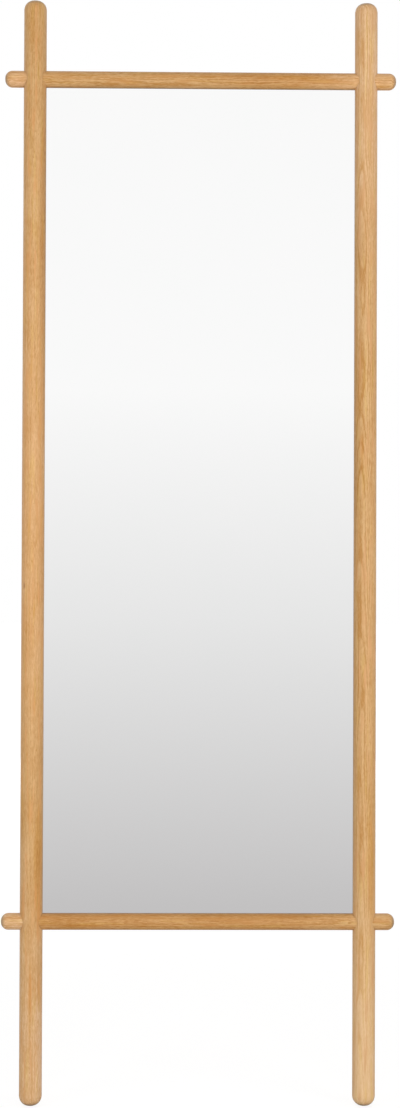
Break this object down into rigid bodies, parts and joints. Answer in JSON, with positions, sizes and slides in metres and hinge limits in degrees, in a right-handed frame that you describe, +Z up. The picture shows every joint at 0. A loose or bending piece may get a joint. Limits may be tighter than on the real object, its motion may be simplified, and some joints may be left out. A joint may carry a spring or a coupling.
{
  "type": "full-length mirror",
  "caption": "Tall leaning or wall-hung mirror in a frame of round oak bars: thick domed uprights with legs below, and thinner domed cross rails that pass through them.",
  "frame": {"origin": "on the floor midway between the two feet, at the middle of the depth from the front of the uprights to the face of the wall bumpers", "axes": "+Z up along the uprights, +X to the right seen from the front, the mirror faces -Y"},
  "size_m": [0.64, 0.0389, 1.8],
  "materials": {
    "oak_left": "satin oiled light oak, grain along Z",
    "oak_right": "satin oiled light oak, grain along Z",
    "oak_top": "satin oiled light oak, grain along X",
    "oak_bottom": "satin oiled light oak, grain along X",
    "mirror": "polished silvered glass",
    "film": "thin frosted film",
    "board": "smooth brown hardboard",
    "screw_zinc": "bright zinc plated",
    "plate_steel": "nickel plated",
    "foam": "soft white foam",
    "packer_rubber": "matt black",
    "bumper_rubber": "matt dark grey"
  },
  "bodies": {
    "root": {"backing_board": "board", "board_screws": "screw_zinc", "bottom_rail": "oak_bottom", "bumper_bottom_left": "bumper_rubber", "bumper_bottom_right": "bumper_rubber", "bumper_top_left": "bumper_rubber", "bumper_top_right": "bumper_rubber", "hanger_plate_left": "plate_steel", "hanger_plate_right": "plate_steel", "hanger_screws": "screw_zinc", "joint_screws": "screw_zinc", "left_upright": "oak_left", "mirror_pane": "mirror", "packer_left": "packer_rubber", "packer_right": "packer_rubber", "right_upright": "oak_right", "safety_film": "film", "tape_strip_1": "foam", "tape_strip_2": "foam", "tape_strip_3": "foam", "tape_strip_4": "foam", "top_rail": "oak_top"}
  },
  "joints": []
}
